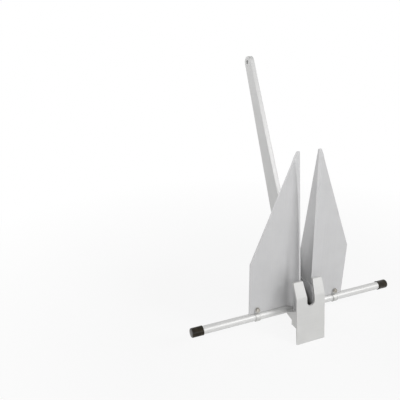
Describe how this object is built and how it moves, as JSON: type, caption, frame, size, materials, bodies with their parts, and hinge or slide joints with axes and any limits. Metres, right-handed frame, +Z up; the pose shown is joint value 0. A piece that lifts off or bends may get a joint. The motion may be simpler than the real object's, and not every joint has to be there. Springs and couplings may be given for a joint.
{
  "type": "fluke anchor",
  "caption": "Light-alloy boat anchor that takes apart: pointed flukes on a round stock, a long shank swinging between them, and palms that tip it into the seabed.",
  "frame": {"origin": "on the ground, under the middle of the anchor's bounding box, the anchor standing on its two palms with the shank leaning back on its stop", "axes": "+X along the stock, to the right seen from the front, +Y to the rear, where the shank leans, +Z up the flukes"},
  "size_m": [0.615, 0.4048, 0.6894],
  "materials": {
    "fluke_alloy": "satin",
    "palm_alloy": "satin",
    "shank_alloy": "satin",
    "tube_alloy": "bright drawn",
    "stainless": "bright",
    "black_vinyl": "soft sheen"
  },
  "bodies": {
    "crown": {"crown_bolt_front": "stainless", "crown_bolt_rear": "stainless", "crown_head_washer_front": "stainless", "crown_head_washer_rear": "stainless", "crown_nut_front": "stainless", "crown_nut_rear": "stainless", "crown_nut_washer_front": "stainless", "crown_nut_washer_rear": "stainless", "crown_plate_left": "fluke_alloy", "crown_plate_right": "fluke_alloy", "crown_sleeve_front": "tube_alloy", "crown_sleeve_rear": "tube_alloy", "fluke_left": "fluke_alloy", "fluke_right": "fluke_alloy", "palm_front": "palm_alloy", "palm_rear": "palm_alloy", "stock_cap_left": "black_vinyl", "stock_cap_right": "black_vinyl", "stock_strap_left": "stainless", "stock_strap_right": "stainless", "stock_tube": "tube_alloy", "strap_bolt_left": "stainless", "strap_bolt_right": "stainless", "strap_head_washer_left": "stainless", "strap_head_washer_right": "stainless", "strap_nut_left": "stainless", "strap_nut_right": "stainless", "strap_nut_washer_left": "stainless", "strap_nut_washer_right": "stainless"},
    "shank": {"shank": "shank_alloy"}
  },
  "joints": [
    {"name": "shank_swing", "type": "hinge", "parent": "crown", "child": "shank", "pos_m": [0, -0.1255, 0.0608], "axis": [1, 0, 0], "range_deg": [0, 54]}
  ]
}
